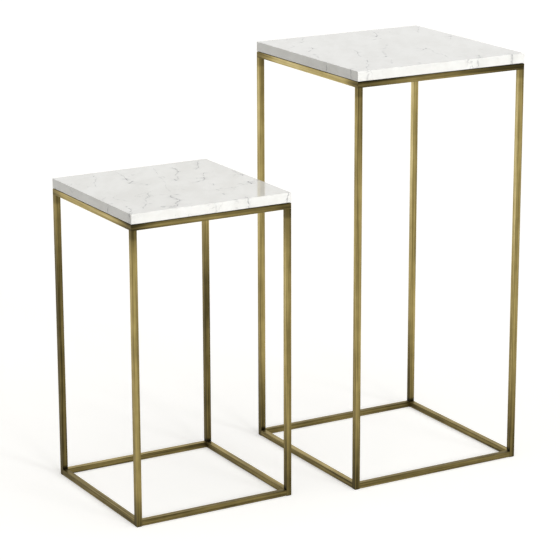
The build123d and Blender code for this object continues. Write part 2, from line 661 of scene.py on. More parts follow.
@dataclass(frozen=True)
class Marble(Finish):
    """Polished white marble with sparse, broken grey veins and soft grey streaks along them."""

    middle: Vector
    veins: tuple[Vein, ...]
    pale: Colour = (0.862, 0.857, 0.83, 1.0)
    cloud: Colour = (0.79, 0.781, 0.748, 1.0)
    grey: Colour = (0.36, 0.36, 0.36, 1.0)
    dark: Colour = (0.10, 0.10, 0.105, 1.0)
    warps: tuple[Pair, ...] = ((32.0, 20.0 * MM), (150.0, 6.0 * MM))
    break_scale: float = 120.0
    break_range: Pair = (0.36, 0.6)
    break_strength: Pair = (0.35, 1.0)
    patch_scale: float = 11.0
    patch_share: float = 0.4
    patch_range: Pair = (-0.6, 0.6)
    streak_scale: float = 34.0
    streak_heading: float = math.radians(60)
    streak_stretch: float = 3.5
    streak_range: Pair = (-0.4, 0.46)
    hair_scale: float = 17.0
    hair_width: float = 0.012
    hair_strength: float = 0.3
    hair_range: Pair = (0.0, 0.3)
    grey_range: Pair = (0.0, 0.6)
    dark_range: Pair = (0.45, 1.0)
    polish: Pair = (0.03, 0.07)
    refraction: float = 1.5

    def warped_place(self, tree: Tree) -> Socket:
        """Gives each point's place from the slab's middle, shifted so that straight seams run crooked.

        Args:
            tree: The material's node tree.

        Returns:
            The socket with the shifted place.
        """
        spot = place(tree, "NodeTexCoord").outputs["Object"]
        shifted = combine(tree, "SUBTRACT", spot, self.middle)
        for scale, reach in self.warps:
            noise = add_noise(tree, spot, scale, detail=2.0)["Color"]
            centred = combine(tree, "SUBTRACT", noise, Vector.Fill(3, NOISE_MIDDLE))
            shift = combine(tree, "MULTIPLY", centred, Vector.Fill(3, reach))
            shifted = combine(tree, "ADD", shifted, shift)
        return shifted

    def main_veins(self, tree: Tree, effects: Effects, vector: Socket) -> Socket:
        """Draws the slab's own veins, one stretch after another, broken here and there.

        Args:
            tree: The material's node tree.
            effects: Shared node groups.
            vector: Socket of the warped place.

        Returns:
            The socket with the mask of all veins.
        """
        mask = 0.0
        for vein in self.veins:
            start, end = (Vector((*spot, 0.0)) * MM for spot in (vein.start, vein.end))
            step = end - start
            inputs = {
                "Vector": vector,
                "Middle": (start + end) / 2,
                "Heading": math.atan2(step.y, step.x),
                "Half Length": step.length / 2,
                "Width": vein.width * MM,
                "Strength": vein.strength,
                "Before": mask,
            }
            mask = use(tree, effects.vein, inputs)["Vein"]
        noise = add_noise(tree, vector, self.break_scale, detail=2.0)
        breaks = grade(tree, noise["Fac"], self.break_range, self.break_strength)
        return calculate(tree, "MULTIPLY", mask, breaks)

    def hair_veins(self, tree: Tree, vector: Socket, patches: Socket) -> Socket:
        """Draws hair-thin veins inside some of the patches.

        Args:
            tree: The material's node tree.
            vector: Socket of the warped place.
            patches: Socket of the soft patches.

        Returns:
            The socket with the mask of the thin veins.
        """
        noise = add_noise(tree, vector, self.hair_scale, detail=4.0)
        ridge = calculate(tree, "ABSOLUTE", calculate(tree, "SUBTRACT", noise["Fac"], NOISE_MIDDLE))
        hair = grade(tree, ridge, (0.0, self.hair_width), (self.hair_strength, 0.0))
        return calculate(tree, "MULTIPLY", hair, grade(tree, patches, self.hair_range, UNIT))

    def ground(self, tree: Tree, effects: Effects, vector: Socket, patches: Socket) -> Socket:
        """Clouds the pale stone with streaks that run the way of the veins.

        Args:
            tree: The material's node tree.
            effects: Shared node groups.
            vector: Socket of the warped place.
            patches: Socket of the soft patches.

        Returns:
            The socket with the colour.
        """
        turned = turn_about(tree, vector, -self.streak_heading)
        drawn = stretch_place(tree, turned, Run.ACROSS, self.streak_stretch)
        inputs = {"Vector": drawn, "Scale": self.streak_scale, "Amount": 1.0}
        streaks = use(tree, effects.mottle, inputs)["Shift"]
        both = calculate(tree, "ADD", streaks, calculate(tree, "MULTIPLY", patches, self.patch_share))
        return blend(tree, grade(tree, both, self.streak_range, UNIT), self.pale, self.cloud)

    def draw(self, tree: Tree, effects: Effects) -> Inputs:
        """Draws the nodes of the finish.

        Args:
            tree: The material's node tree.
            effects: Shared node groups.

        Returns:
            What feeds the shader's inputs.
        """
        vector = self.warped_place(tree)
        inputs = {"Vector": vector, "Scale": self.patch_scale, "Amount": 1.0}
        patches = use(tree, effects.mottle, inputs)["Shift"]
        main = self.main_veins(tree, effects, vector)
        veins = calculate(tree, "MAXIMUM", main, self.hair_veins(tree, vector, patches))
        ground = self.ground(tree, effects, vector, patches)
        greyed = blend(tree, grade(tree, veins, self.grey_range, UNIT), ground, self.grey)
        colour = blend(tree, grade(tree, veins, self.dark_range, UNIT), greyed, self.dark)
        gloss = grade(tree, patches, self.patch_range, self.polish)
        return {"Base Color": colour, "Roughness": gloss, "IOR": self.refraction}


@dataclass(frozen=True)
class AntiqueBrass(Finish):
    """Brushed brass, darker in some places than in others: uneven patina together with painted light and
    shade.
    """

    run: Run
    bright: Colour = (0.66, 0.557, 0.284, 1.0)
    golden: Colour = (0.40, 0.316, 0.122, 1.0)
    brown: Colour = (0.24, 0.187, 0.069, 1.0)
    dark: Colour = (0.075, 0.058, 0.0205, 1.0)
    # near black, for the deepest painted shade at the joints
    deep_shade: Colour = (0.012, 0.009, 0.004, 1.0)
    golden_at: float = 0.38
    brown_at: float = 0.62
    dark_at: float = 1.0
    deep_shade_at: float = 1.4
    glance: Colour = (0.96, 0.92, 0.84, 1.0)
    stretch: float = 60.0
    broad_scale: float = 330.0
    fine_scale: float = 1800.0
    patch_scale: float = 26.0
    patches: float = 0.16
    streaks: float = 0.13
    marks: float = 0.1
    roughness: Pair = (0.3, 0.46)
    mark_roughness: float = 0.08
    mark_relief: float = 0.12
    mark_depth: float = 0.2 * MM

    def darken(self, tree: Tree, darkness: Socket) -> Socket:
        """Turns darkness into colour, from bright at 0 to dark at 1 and near black beyond, for the deepest
        painted shade.

        Args:
            tree: The material's node tree.
            darkness: Socket of the darkness.

        Returns:
            The socket with the colour.
        """
        share = calculate(tree, "DIVIDE", darkness, self.deep_shade_at)
        ramp = place(tree, "NodeValToRGB", {"Fac": share})
        stops = ramp.color_ramp.elements
        stops[0].color = self.bright
        stops[1].color = self.deep_shade
        between = ((self.golden_at, self.golden), (self.brown_at, self.brown), (self.dark_at, self.dark))
        for level, colour in between:
            stops.new(level / self.deep_shade_at).color = colour
        return ramp.outputs["Color"]

    def darkness(self, tree: Tree, effects: Effects, spot: Socket, broad: Socket) -> Socket:
        """Adds up the patina and painted light and shade on a tube, soft patches and broad brush marks.

        Args:
            tree: The material's node tree.
            effects: Shared node groups.
            spot: Socket of the place.
            broad: Socket of the broad brush marks.

        Returns:
            The socket with the darkness.
        """
        inputs = {"Vector": spot, "Scale": self.patch_scale, "Amount": self.patches}
        patches = use(tree, effects.mottle, inputs)["Shift"]
        # patina with painted light and shade, and painted shade over a rail's upper half
        tone = place(tree, "NodeAttribute", attribute_name=PATINA_AND_SHADE).outputs["Fac"]
        rim = place(tree, "NodeAttribute", attribute_name=RIM_SHADE).outputs["Fac"]
        painted = calculate(tree, "ADD", tone, calculate(tree, "MAXIMUM", rim, 0.0))
        streaks = grade(tree, broad, UNIT, (-self.streaks, self.streaks))
        return calculate(tree, "ADD", painted, calculate(tree, "ADD", patches, streaks))

    def draw(self, tree: Tree, effects: Effects) -> Inputs:
        """Draws the nodes of the finish.

        Args:
            tree: The material's node tree.
            effects: Shared node groups.

        Returns:
            What feeds the shader's inputs.
        """
        spot = place(tree, "NodeTexCoord").outputs["Object"]
        drawn = stretch_place(tree, spot, self.run, self.stretch)
        inputs = {"Vector": drawn, "Broad Scale": self.broad_scale, "Fine Scale": self.fine_scale}
        brushing = use(tree, effects.brushing, inputs)
        fine = brushing["Fine"]
        darkness = self.darkness(tree, effects, spot, brushing["Broad"])
        marks = grade(tree, fine, UNIT, (1.0 - self.marks, 1.0 + self.marks))
        rough = grade(tree, darkness, UNIT, self.roughness)
        extra = calculate(tree, "MULTIPLY", fine, self.mark_roughness)
        relief = {"Height": fine, "Strength": self.mark_relief, "Distance": self.mark_depth}
        return {
            "Base Color": blend(tree, 1.0, self.darken(tree, darkness), marks, "MULTIPLY"),
            "Metallic": 1.0,
            "Specular Tint": self.glance,
            "Roughness": calculate(tree, "ADD", rough, extra),
            "Normal": place(tree, "NodeBump", relief).outputs[0],
        }


@dataclass(frozen=True)
class Moulded(Finish):
    """Moulded rubber or plastic with a pebbled skin."""

    colour: Colour
    speck: Colour
    roughness: Pair
    scale: float
    relief: float = 0.3
    depth: float = 0.15 * MM

    def draw(self, tree: Tree, effects: Effects) -> Inputs:
        """Draws the nodes of the finish.

        Args:
            tree: The material's node tree.
            effects: Shared node groups.

        Returns:
            What feeds the shader's inputs.
        """
        spot = place(tree, "NodeTexCoord").outputs["Object"]
        grain = use(tree, effects.grain, {"Vector": spot, "Scale": self.scale})
        relief = {"Height": grain["Height"], "Strength": self.relief, "Distance": self.depth}
        return {
            "Base Color": blend(tree, grain["Speck"], self.colour, self.speck),
            "Roughness": grade(tree, grain["Speck"], UNIT, self.roughness),
            "Normal": place(tree, "NodeBump", relief).outputs[0],
        }


@dataclass(frozen=True)
class TurnedMetal(Finish):
    """Plain turned metal of a screw or an insert, a little clouded."""

    clean: Colour
    clouded: Colour
    roughness: Pair
    patch_scale: float = 420.0
    patch_range: Pair = (-0.3, 0.4)
    broad_scale: float = 600.0
    fine_scale: float = 3000.0

    def draw(self, tree: Tree, effects: Effects) -> Inputs:
        """Draws the nodes of the finish.

        Args:
            tree: The material's node tree.
            effects: Shared node groups.

        Returns:
            What feeds the shader's inputs.
        """
        spot = place(tree, "NodeTexCoord").outputs["Object"]
        inputs = {"Vector": spot, "Scale": self.patch_scale, "Amount": 1.0}
        patches = use(tree, effects.mottle, inputs)["Shift"]
        inputs = {"Vector": spot, "Broad Scale": self.broad_scale, "Fine Scale": self.fine_scale}
        brushing = use(tree, effects.brushing, inputs)
        clouding = grade(tree, patches, self.patch_range, UNIT)
        return {
            "Base Color": blend(tree, clouding, self.clean, self.clouded),
            "Metallic": 1.0,
            "Roughness": grade(tree, brushing["Fine"], UNIT, self.roughness),
        }


@dataclass(frozen=True)
class Antiquing:
    """How dark a tube is at its start, its middle and its end, from 0, bright, to 1, dark: uneven patina
    together with painted light and shade, such as darker feet near the floor.

    The start and the end each reach over a share of the length. One face, the left-hand one of a leg or the
    upper one of a rail, is shifted against the others, by one amount at the tube's start and by another from
    a share of its length on: painted light and shade for how light falls on that face. A further amount
    darkens the upper half of a rail, as painted shade under the slab.
    """

    start: float
    middle: float
    end: float
    reach: Pair = (0.2, 0.2)
    # painted light and shade on one face, for how light falls on it
    face: Pair = (0.0, 0.0)
    face_share: float = 0.8
    # painted shade over a rail's upper half, under the slab
    rim: float = 0.0

    def at(self, share: float, on_face: bool) -> float:
        """Gives the darkness at a point of the tube.

        Args:
            share: Share of the tube's length.
            on_face: Whether the point is on the face that is shifted.

        Returns:
            The darkness.
        """
        from_start = smooth_step(1.0 - share / self.reach[0])
        from_end = smooth_step(1.0 - (1.0 - share) / self.reach[1])
        tone = self.middle + (self.start - self.middle) * from_start
        tone += (self.end - self.middle) * from_end
        if on_face:
            first, last = self.face
            tone += first + (last - first) * smooth_step(share / self.face_share)
        return tone


# The tables


@dataclass(frozen=True)
class Table:
    """One table of the pair, as the frame names and places it."""

    name: str
    body: str

    def node(self, piece: str) -> str:
        """Full name of one of the table's nodes or pieces."""
        return f"{self.name}_{piece}"

    def box(self, node: str) -> tuple[Vector, Vector]:
        """Lowest and highest corner of a node, which is named without the table's name."""
        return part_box(self.node(node))

    def points(self, node: str) -> list[Vector]:
        """Points of a node's mesh, the node named without the table's name."""
        return [point.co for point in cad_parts[self.node(node)].data.vertices]

    @property
    def axis(self) -> Vector:
        """Point on the floor under the middle of the top."""
        low, high = self.box("marble_top")
        return Vector(((low.x + high.x) / 2, (low.y + high.y) / 2, 0.0))

    def round_radius(self, node: str) -> float:
        """Reads the radius of a node's four round solids from the one at the front left.

        Args:
            node: Name of the node, without the table's name.

        Returns:
            Half of that solid's width.
        """
        low, _ = self.box(node)
        middle = self.axis
        near = [point.x for point in self.points(node) if point.x < middle.x and point.y < middle.y]
        return (max(near) - low.x) / 2

    def copy_round(self, pattern: Piece, kind: Repeat, tail: str) -> list[tuple[Piece, Side]]:
        """Copies a pattern to its four places round the table and throws the pattern away.

        Args:
            pattern: The piece at the front, or at the front left corner.
            kind: Which of the repeated pieces it is.
            tail: Last word of the copies' names.

        Returns:
            Each copy and its side.
        """
        copies = []
        for side in Side:
            name = self.node(f"{kind.node(side)}_{tail}")
            copies.append((copy_turned(pattern, name, self.axis, side.value), side))
        bpy.data.meshes.remove(pattern.data)
        return copies

    def fit(self, piece: Piece, node: str, slot: Slot, material: Material) -> None:
        """Gives a piece its material and lets it ride with the table in the place of a node.

        Args:
            piece: The finished piece.
            node: Name of the node it stands for, without the table's name.
            slot: Material slot of the record; not used.
            material: The piece's material.
        """
        piece.data.materials.append(material)
        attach(piece, self.body)
        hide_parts(self.node(node))
        log.info("%s: %d faces for %s", piece.name, len(piece.data.polygons), self.node(node))


@dataclass
class StoneTop:
    """Stone slab with softened arrises and drilled seats for the inserts underneath."""

    table: Table
    arris: float = 0.9 * MM
    arris_steps: int = 4
    seat_room: float = 0.1 * MM
    seat_depth: float = 0.5 * MM
    seat_sides: int = 40

    def build(self) -> Piece:
        """Models the slab.

        Returns:
            The finished slab.
        """
        slab = add_block(self.table.node("marble_top_slab"), *self.table.box("marble_top"))
        pick_all(slab)
        round_off(self.arris, self.arris_steps)
        self.drill(slab)
        close_up(slab)
        return slab

    def drill(self, slab: Piece) -> None:
        """Drills a seat over each of the four inserts.

        Args:
            slab: The slab in work.
        """
        low, high = self.table.box("thread_inserts")
        radius = self.table.round_radius("thread_inserts")
        length = high.z - low.z
        for x in (low.x + radius, high.x - radius):
            for y in (low.y + radius, high.y - radius):
                foot = Vector((x, y, low.z - length))
                height = 2 * length + self.seat_depth
                cut_out(slab, add_round("seat_drill", foot, radius + self.seat_room, height, self.seat_sides))

    def dress(self, slab: Piece, finish: Marble, effects: Effects) -> None:
        """Gives the slab its stone and its place."""
        self.table.fit(slab, "marble_top", Slot.MARBLE, finish.material(effects))


@dataclass(frozen=True)
class Room:
    """Room that a length of square tube takes, and the direction of its length."""

    low: Vector
    high: Vector
    run: Run

    @property
    def middle(self) -> Vector:
        """Middle of the tube."""
        return (self.low + self.high) / 2

    @property
    def half(self) -> float:
        """Half of the tube's thickness."""
        return min(self.high - self.low) / 2

    def share(self, point: Vector) -> float:
        """Share of the tube's length at which a point lies."""
        start, end = self.low[self.run.value], self.high[self.run.value]
        return (point[self.run.value] - start) / (end - start)

    def offsets(self, point: Vector) -> list[float]:
        """Distances of a point from the tube's middle line, across both of its sides."""
        return [abs(point[i] - self.middle[i]) for i in range(3) if i != self.run.value]

    def is_corner(self, point: Vector, width: float) -> bool:
        """Tells whether a point is within a width of two of the tube's outer faces."""
        return min(self.offsets(point)) > self.half - width

    def is_outside(self, point: Vector, depth: float) -> bool:
        """Tells whether a point is within a depth of one of the tube's outer faces."""
        return max(self.offsets(point)) > self.half - depth


@dataclass
class TubeFrame:
    """Welded frame of square tube: a mitred ring, four legs and four base rails."""

    table: Table
    tones: dict[str, Antiquing]
    wall: float = 1.0 * MM
    radius: float = 0.5 * MM
    round_steps: int = 4
    rings: int = 15
    spare: float = 5.0 * MM
    groove: float = 0.15 * MM
    joint_cuts: Pair = (13.0 * MM, 18.0 * MM)
    # painted shade on a leg where the base rails meet it
    joint_darkness: float = 0.5
    # painted shade at the head of a leg, under the ring
    head_shade: float = 0.15
    arris_width: float = 0.45 * MM
    # painted shade along the tube's outer corners
    arris_darkness: float = 0.08
    skin: float = 0.1 * MM
    pieces: list[tuple[Piece, str, Run]] = field(default_factory=list)

    @property
    def joint_reach(self) -> float:
        """Length of the stretch of painted shade at a joint, which ends between the two cuts made for it."""
        return sum(self.joint_cuts) / 2

    def draw_tube(self, name: str, room: Room) -> Piece:
        """Models a length of hollow tube with rounded long edges, to be cut to length.

        Args:
            name: Name of the piece.
            room: Room of the finished length.

        Returns:
            The tube, with something to spare at both ends.
        """
        along = room.run.along

        def is_long(start: Vector, end: Vector) -> bool:
            """Tells whether an edge runs along the tube."""
            return abs((end - start).normalized().dot(along)) > FACING

        def is_arris(start: Vector, end: Vector) -> bool:
            """Tells whether an edge is a stretch of one of the tube's four outer corners."""
            return is_long(start, end) and room.is_corner(start, self.wall / 2)

        tube = add_block(name, room.low - along * self.spare, room.high + along * self.spare)
        pick_faces(tube, lambda centre, normal: abs(normal.dot(along)) > FACING)
        bpy.ops.mesh.delete(type="FACE")
        pick_edges(tube, is_long)
        bpy.ops.mesh.subdivide(number_cuts=self.rings)
        for cut in self.joint_cuts:
            for spot in (room.low + along * cut, room.high - along * cut):
                pick_all(tube)
                bpy.ops.mesh.bisect(plane_co=spot, plane_no=along)
        apply_modifier(tube, "SOLIDIFY", thickness=self.wall, offset=-1.0, use_even_offset=True)
        pick_edges(tube, is_arris)
        round_off(self.radius, self.round_steps)
        return tube

    def cut_end(self, tube: Piece, spot: Vector, normal: Vector) -> None:
        """Saws a tube's end off and closes the cut between skin and bore.

        Args:
            tube: The tube in work.
            spot: A point on the plane of the cut.
            normal: The plane's direction, into the tube.
        """
        pick_all(tube)
        bpy.ops.mesh.bisect(plane_co=spot, plane_no=normal, clear_inner=True)
        bpy.ops.mesh.bridge_edge_loops()

    def groove_end(self, tube: Piece, room: Room, spot: Vector, normal: Vector) -> None:
        """Breaks the outer edge of a tube's end, so that the joint shows as a hairline.

        Args:
            tube: The tube in work.
            room: Room that it takes.
            spot: A point on the end's plane.
            normal: The plane's direction.
        """

        def is_rim(*ends: Vector) -> bool:
            """Tells whether an edge lies in the end's plane and on the tube's skin."""
            flat = all(abs((point - spot).dot(normal)) < TOUCH for point in ends)
            return flat and all(room.is_outside(point, self.wall / 2) for point in ends)

        pick_edges(tube, is_rim)
        round_off(self.groove, 1)

    def round_corner(self, rail: Piece, corner: Vector, hand: float) -> None:
        """Dresses the tip of a mitre round, by flats that lie on the tube's own corner radius.

        Args:
            rail: The rail in work.
            corner: The sharp corner.
            hand: 1 at the left end, -1 at the right end.
        """
        middle = corner + Vector((hand * self.radius, self.radius, 0.0))
        flat = QUARTER_TURN / self.round_steps
        for step in range(self.round_steps // 2):
            angle = (step + 0.5) * flat
            normal = Vector((-hand * math.sin(angle), -math.cos(angle), 0.0))
            shave(rail, middle + normal * self.radius, normal)

    def build_straight(self, node: str, run: Run) -> Piece:
        """Models a tube that is cut square at both ends, in the place of a node.

        Args:
            node: Name of the node, without the table's name.
            run: Direction of its length.

        Returns:
            The finished tube.
        """
        room = Room(*self.table.box(node), run)
        tube = self.draw_tube(f"{node}_pattern", room)
        for spot, normal in ((room.low, run.along), (room.high, -run.along)):
            self.cut_end(tube, spot, normal)
            self.groove_end(tube, room, spot, normal)
        close_up(tube)
        return tube

    def build_mitred(self, node: str) -> Piece:
        """Models the ring's front rail, mitred at both ends, with its outer corners rounded.

        Args:
            node: Name of the node, without the table's name.

        Returns:
            The finished rail.
        """
        low, high = self.table.box(node)
        slab_low, slab_high = self.table.box("marble_top")
        low.x, high.x = slab_low.x, slab_high.x
        room = Room(low, high, Run.ACROSS)
        rail = self.draw_tube(f"{node}_pattern", room)
        mitres = []
        for hand, corner in ((1.0, low), (-1.0, Vector((high.x, low.y, low.z)))):
            normal = Vector((hand, -1.0, 0.0)).normalized()
            mitres.append((corner, normal))
            self.cut_end(rail, corner, normal)
            self.round_corner(rail, corner, hand)
        for corner, normal in mitres:
            self.groove_end(rail, room, corner, normal)
        close_up(rail)
        return rail

    def build(self) -> None:
        """Models one leg, one base rail and one ring rail, and copies each round the table."""
        patterns = {
            Repeat.LEG: self.build_straight(Repeat.LEG.node(Side.FRONT), Run.UPRIGHT),
            Repeat.BASE_RAIL: self.build_straight(Repeat.BASE_RAIL.node(Side.FRONT), Run.ACROSS),
            Repeat.TOP_RAIL: self.build_mitred(Repeat.TOP_RAIL.node(Side.FRONT)),
        }
        for kind, pattern in patterns.items():
            for tube, side in self.table.copy_round(pattern, kind, "tube"):
                run = Run.UPRIGHT if kind is Repeat.LEG else side.run
                self.pieces.append((tube, kind.node(side), run))

    def meets_rail(self, room: Room, point: Vector) -> bool:
        """Tells whether a point of a leg lies on one of the two faces that the base rails butt against.

        Args:
            room: Room that the leg takes.
            point: A point of its mesh.

        Returns:
            True on these faces.
        """
        inward = self.table.axis - room.middle
        offset = point - room.middle
        reach = max(offset[i] * math.copysign(1.0, inward[i]) for i in (0, 1))
        return reach > room.half - self.skin

    def darkness(self, room: Room, tones: Antiquing, point: Vector) -> float:
        """Gives the darkness at a point of a tube: patina and painted light and shade by its share of the
        length and its face, and painted shade along its corners, at the rail joints and under the ring.

        Args:
            room: Room that the tube takes.
            tones: The tube's patina and painted light and shade.
            point: A point of its mesh.

        Returns:
            The darkness, from 0, bright, to 1, dark.
        """
        upright = room.run is Run.UPRIGHT
        depth = point.x - room.low.x if upright else room.high.z - point.z
        # patina and painted light and shade along the tube and on one face
        tone = tones.at(room.share(point), depth < self.skin)
        # painted shade along the outer corners
        if room.is_corner(point, self.arris_width):
            tone += self.arris_darkness
        # painted shade on the leg where the base rails meet it
        if upright and point.z - room.low.z < self.joint_reach and self.meets_rail(room, point):
            tone += self.joint_darkness
        # painted shade at the leg's head, under the ring
        if upright and room.high.z - point.z < self.joint_reach:
            tone += self.head_shade
        return tone

    def dress(self, brass: dict[Run, Material]) -> None:
        """Paints every tube with patina and painted light and shade along its length, and gives it its brass
        and its place.

        Args:
            brass: The brass for each direction of a tube.
        """
        for tube, node, run in self.pieces:
            room = Room(*self.table.box(node), run)
            tones = self.tones[node]
            # painted light and shade with patina, and painted shade over a rail's upper half under the slab
            paint(tube, PATINA_AND_SHADE, lambda point: self.darkness(room, tones, point))
            paint(tube, RIM_SHADE, lambda point: tones.rim * (point.z - room.middle.z) / room.half)
            self.table.fit(tube, node, Slot.BRASS, brass[run])


@dataclass
class TopFixings:
    """What holds the slab on the frame: corner tabs, screws, inserts and cushion strips."""

    table: Table
    strip_round: float = 0.4 * MM
    strip_steps: int = 2
    tab_round: float = 0.35 * MM
    tab_steps: int = 2
    tab_darkness: float = 0.72
    tab_hole: float = 2.25 * MM
    screw_sides: int = 32
    shank: float = 2.0 * MM
    head_height: float = 2.2 * MM
    head_round: float = 0.4 * MM
    head_steps: int = 3
    socket: float = 2.5 * MM
    socket_depth: float = 1.3 * MM
    socket_sides: int = 6
    pitch: float = 0.7 * MM
    thread_root: float = 0.84

    def build_strips(self, rubber: Material) -> None:
        """Models one cushion strip and lays a copy on each rail.

        Args:
            rubber: Material of the strips.
        """
        low, high = self.table.box(Repeat.STRIP.node(Side.FRONT))
        pattern = add_block("strip_pattern", low, high)
        pick_edges(pattern, lambda start, end: abs(end.x - start.x) > high.y - low.y)
        round_off(self.strip_round, self.strip_steps)
        close_up(pattern)
        for strip, side in self.table.copy_round(pattern, Repeat.STRIP, "pad"):
            self.table.fit(strip, Repeat.STRIP.node(side), Slot.RUBBER, rubber)

    def build_tabs(self, brass: Material) -> None:
        """Models one corner tab, blunt at its two tips and drilled, and copies it to each corner.

        Args:
            brass: Material of the tabs.
        """
        node = Repeat.TAB.node(Side.FRONT)
        low, high = self.table.box(node)
        blunt = max(point.y for point in self.table.points(node) if point.x > high.x - TOUCH)
        pattern = add_block("tab_pattern", low, high)
        shave(pattern, Vector((high.x, blunt, low.z)), Vector((1.0, 1.0, 0.0)))
        plate = high.z - low.z
        foot = self.screw_foot()
        foot.z = low.z - plate
        cut_out(pattern, add_round("tab_drill", foot, self.tab_hole, 3 * plate, self.screw_sides))
        apply_modifier(pattern, "BEVEL", width=self.tab_round, segments=self.tab_steps, limit_method="ANGLE")
        close_up(pattern)
        for tab, side in self.table.copy_round(pattern, Repeat.TAB, "plate"):
            paint(tab, PATINA_AND_SHADE, lambda point: self.tab_darkness)
            self.table.fit(tab, Repeat.TAB.node(side), Slot.BRASS, brass)

    def screw_foot(self) -> Vector:
        """Gives the lowest point of the front left screw's middle line.

        Returns:
            The point, on the underside of the head.
        """
        low, _ = self.table.box("top_screws")
        radius = self.table.round_radius("top_screws")
        return low + Vector((radius, radius, 0.0))

    def build_screws(self, zinc: Material) -> None:
        """Models one low-head socket screw with its thread, and sets four of them in the tabs.

        Args:
            zinc: Material of the screws.
        """
        low, high = self.table.box("top_screws")
        radius = self.table.round_radius("top_screws")
        foot = self.screw_foot()
        screw = add_round(self.table.node("top_screws_set"), foot, radius, self.head_height, self.screw_sides)
        pick_edges(screw, lambda start, end: max(start.z, end.z) < low.z + self.head_round)
        round_off(self.head_round, self.head_steps)
        self.draw_thread(screw, low.z + self.head_height, high.z, radius)
        foot.z -= self.socket_depth
        key_radius = self.socket / math.sqrt(3.0)
        cut_out(screw, add_round("socket_key", foot, key_radius, 2 * self.socket_depth, self.socket_sides))
        close_up(screw)
        others = [copy_turned(screw, "screw_copy", self.table.axis, quarters) for quarters in (1, 2, 3)]
        take_up(screw)
        for copy in others:
            copy.select_set(True)
        bpy.ops.object.join()
        self.table.fit(screw, "top_screws", Slot.ZINC, zinc)

    def draw_thread(self, screw: Piece, bottom: float, top: float, head_radius: float) -> None:
        """Draws the shank up from the head, in and out at each turn of its thread.

        Args:
            screw: The screw in work, so far a head.
            bottom: Height of the head's upper face.
            top: Height of the screw's end.
            head_radius: Radius of the head.
        """
        pick_faces(screw, lambda centre, normal: normal.z > FACING and centre.z > bottom - TOUCH)
        bpy.ops.mesh.inset(thickness=head_radius - self.shank)
        turns = round((top - bottom) / self.pitch)
        rise = Vector((0.0, 0.0, (top - bottom) / turns / 2))
        for _ in range(turns):
            for share in (self.thread_root, 1.0 / self.thread_root):
                draw_out(rise)
                bpy.ops.transform.resize(value=(share, share, 1.0))

    def dress_inserts(self, metal: Material) -> None:
        """Gives the inserts' own node its metal.

        Args:
            metal: Material of the inserts.
        """
        node = self.table.node("thread_inserts")
        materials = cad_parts[node].data.materials
        materials.clear()
        materials.append(metal)
        log.info("%s: node kept", node)


@dataclass
class FootGlides:
    """Plastic caps in the legs' open ends, each with a plate that stands on the floor."""

    table: Table
    plate: float = 1.0 * MM
    edge: float = 0.3 * MM
    edge_steps: int = 2
    plug_inset: float = 0.6 * MM
    plug_wall: float = 1.2 * MM

    def build(self, plastic: Material) -> None:
        """Models one glide and sets a copy under each leg.

        Args:
            plastic: Material of the glides.
        """
        low, high = self.table.box(Repeat.GLIDE.node(Side.FRONT))
        pattern = add_block("glide_pattern", low, Vector((high.x, high.y, low.z + self.plate)))
        pick_faces(pattern, lambda centre, normal: normal.z > FACING)
        rise = Vector((0.0, 0.0, high.z - low.z - self.plate))
        for inset, way in ((self.plug_inset, rise), (self.plug_wall, -rise)):
            bpy.ops.mesh.inset(thickness=inset)
            draw_out(way)
        pick_edges(pattern, lambda start, end: max(start.z, end.z) < low.z + self.edge)
        round_off(self.edge, self.edge_steps)
        close_up(pattern)
        for cap, side in self.table.copy_round(pattern, Repeat.GLIDE, "cap"):
            self.table.fit(cap, Repeat.GLIDE.node(side), Slot.PLASTIC, plastic)


# The studio


@dataclass(frozen=True)
class Lamp:
    """A soft lamp that stands far off: the way its light travels, its strength, width and colour."""

    name: str
    heading: Triple
    strength: float
    spread: float
    colour: Triple

    def build(self) -> None:
        """Sets up the lamp, which shiny surfaces don't mirror."""
        deselect_all()
        turn = Vector(self.heading).to_track_quat("-Z", "Y")
        bpy.ops.object.light_add(type="SUN", rotation=turn.to_euler())
        lamp = bpy.context.object
        lamp.name = self.name
        lamp.data.energy = self.strength
        lamp.data.angle = self.spread
        lamp.data.color = self.colour
        lamp.visible_glossy = False


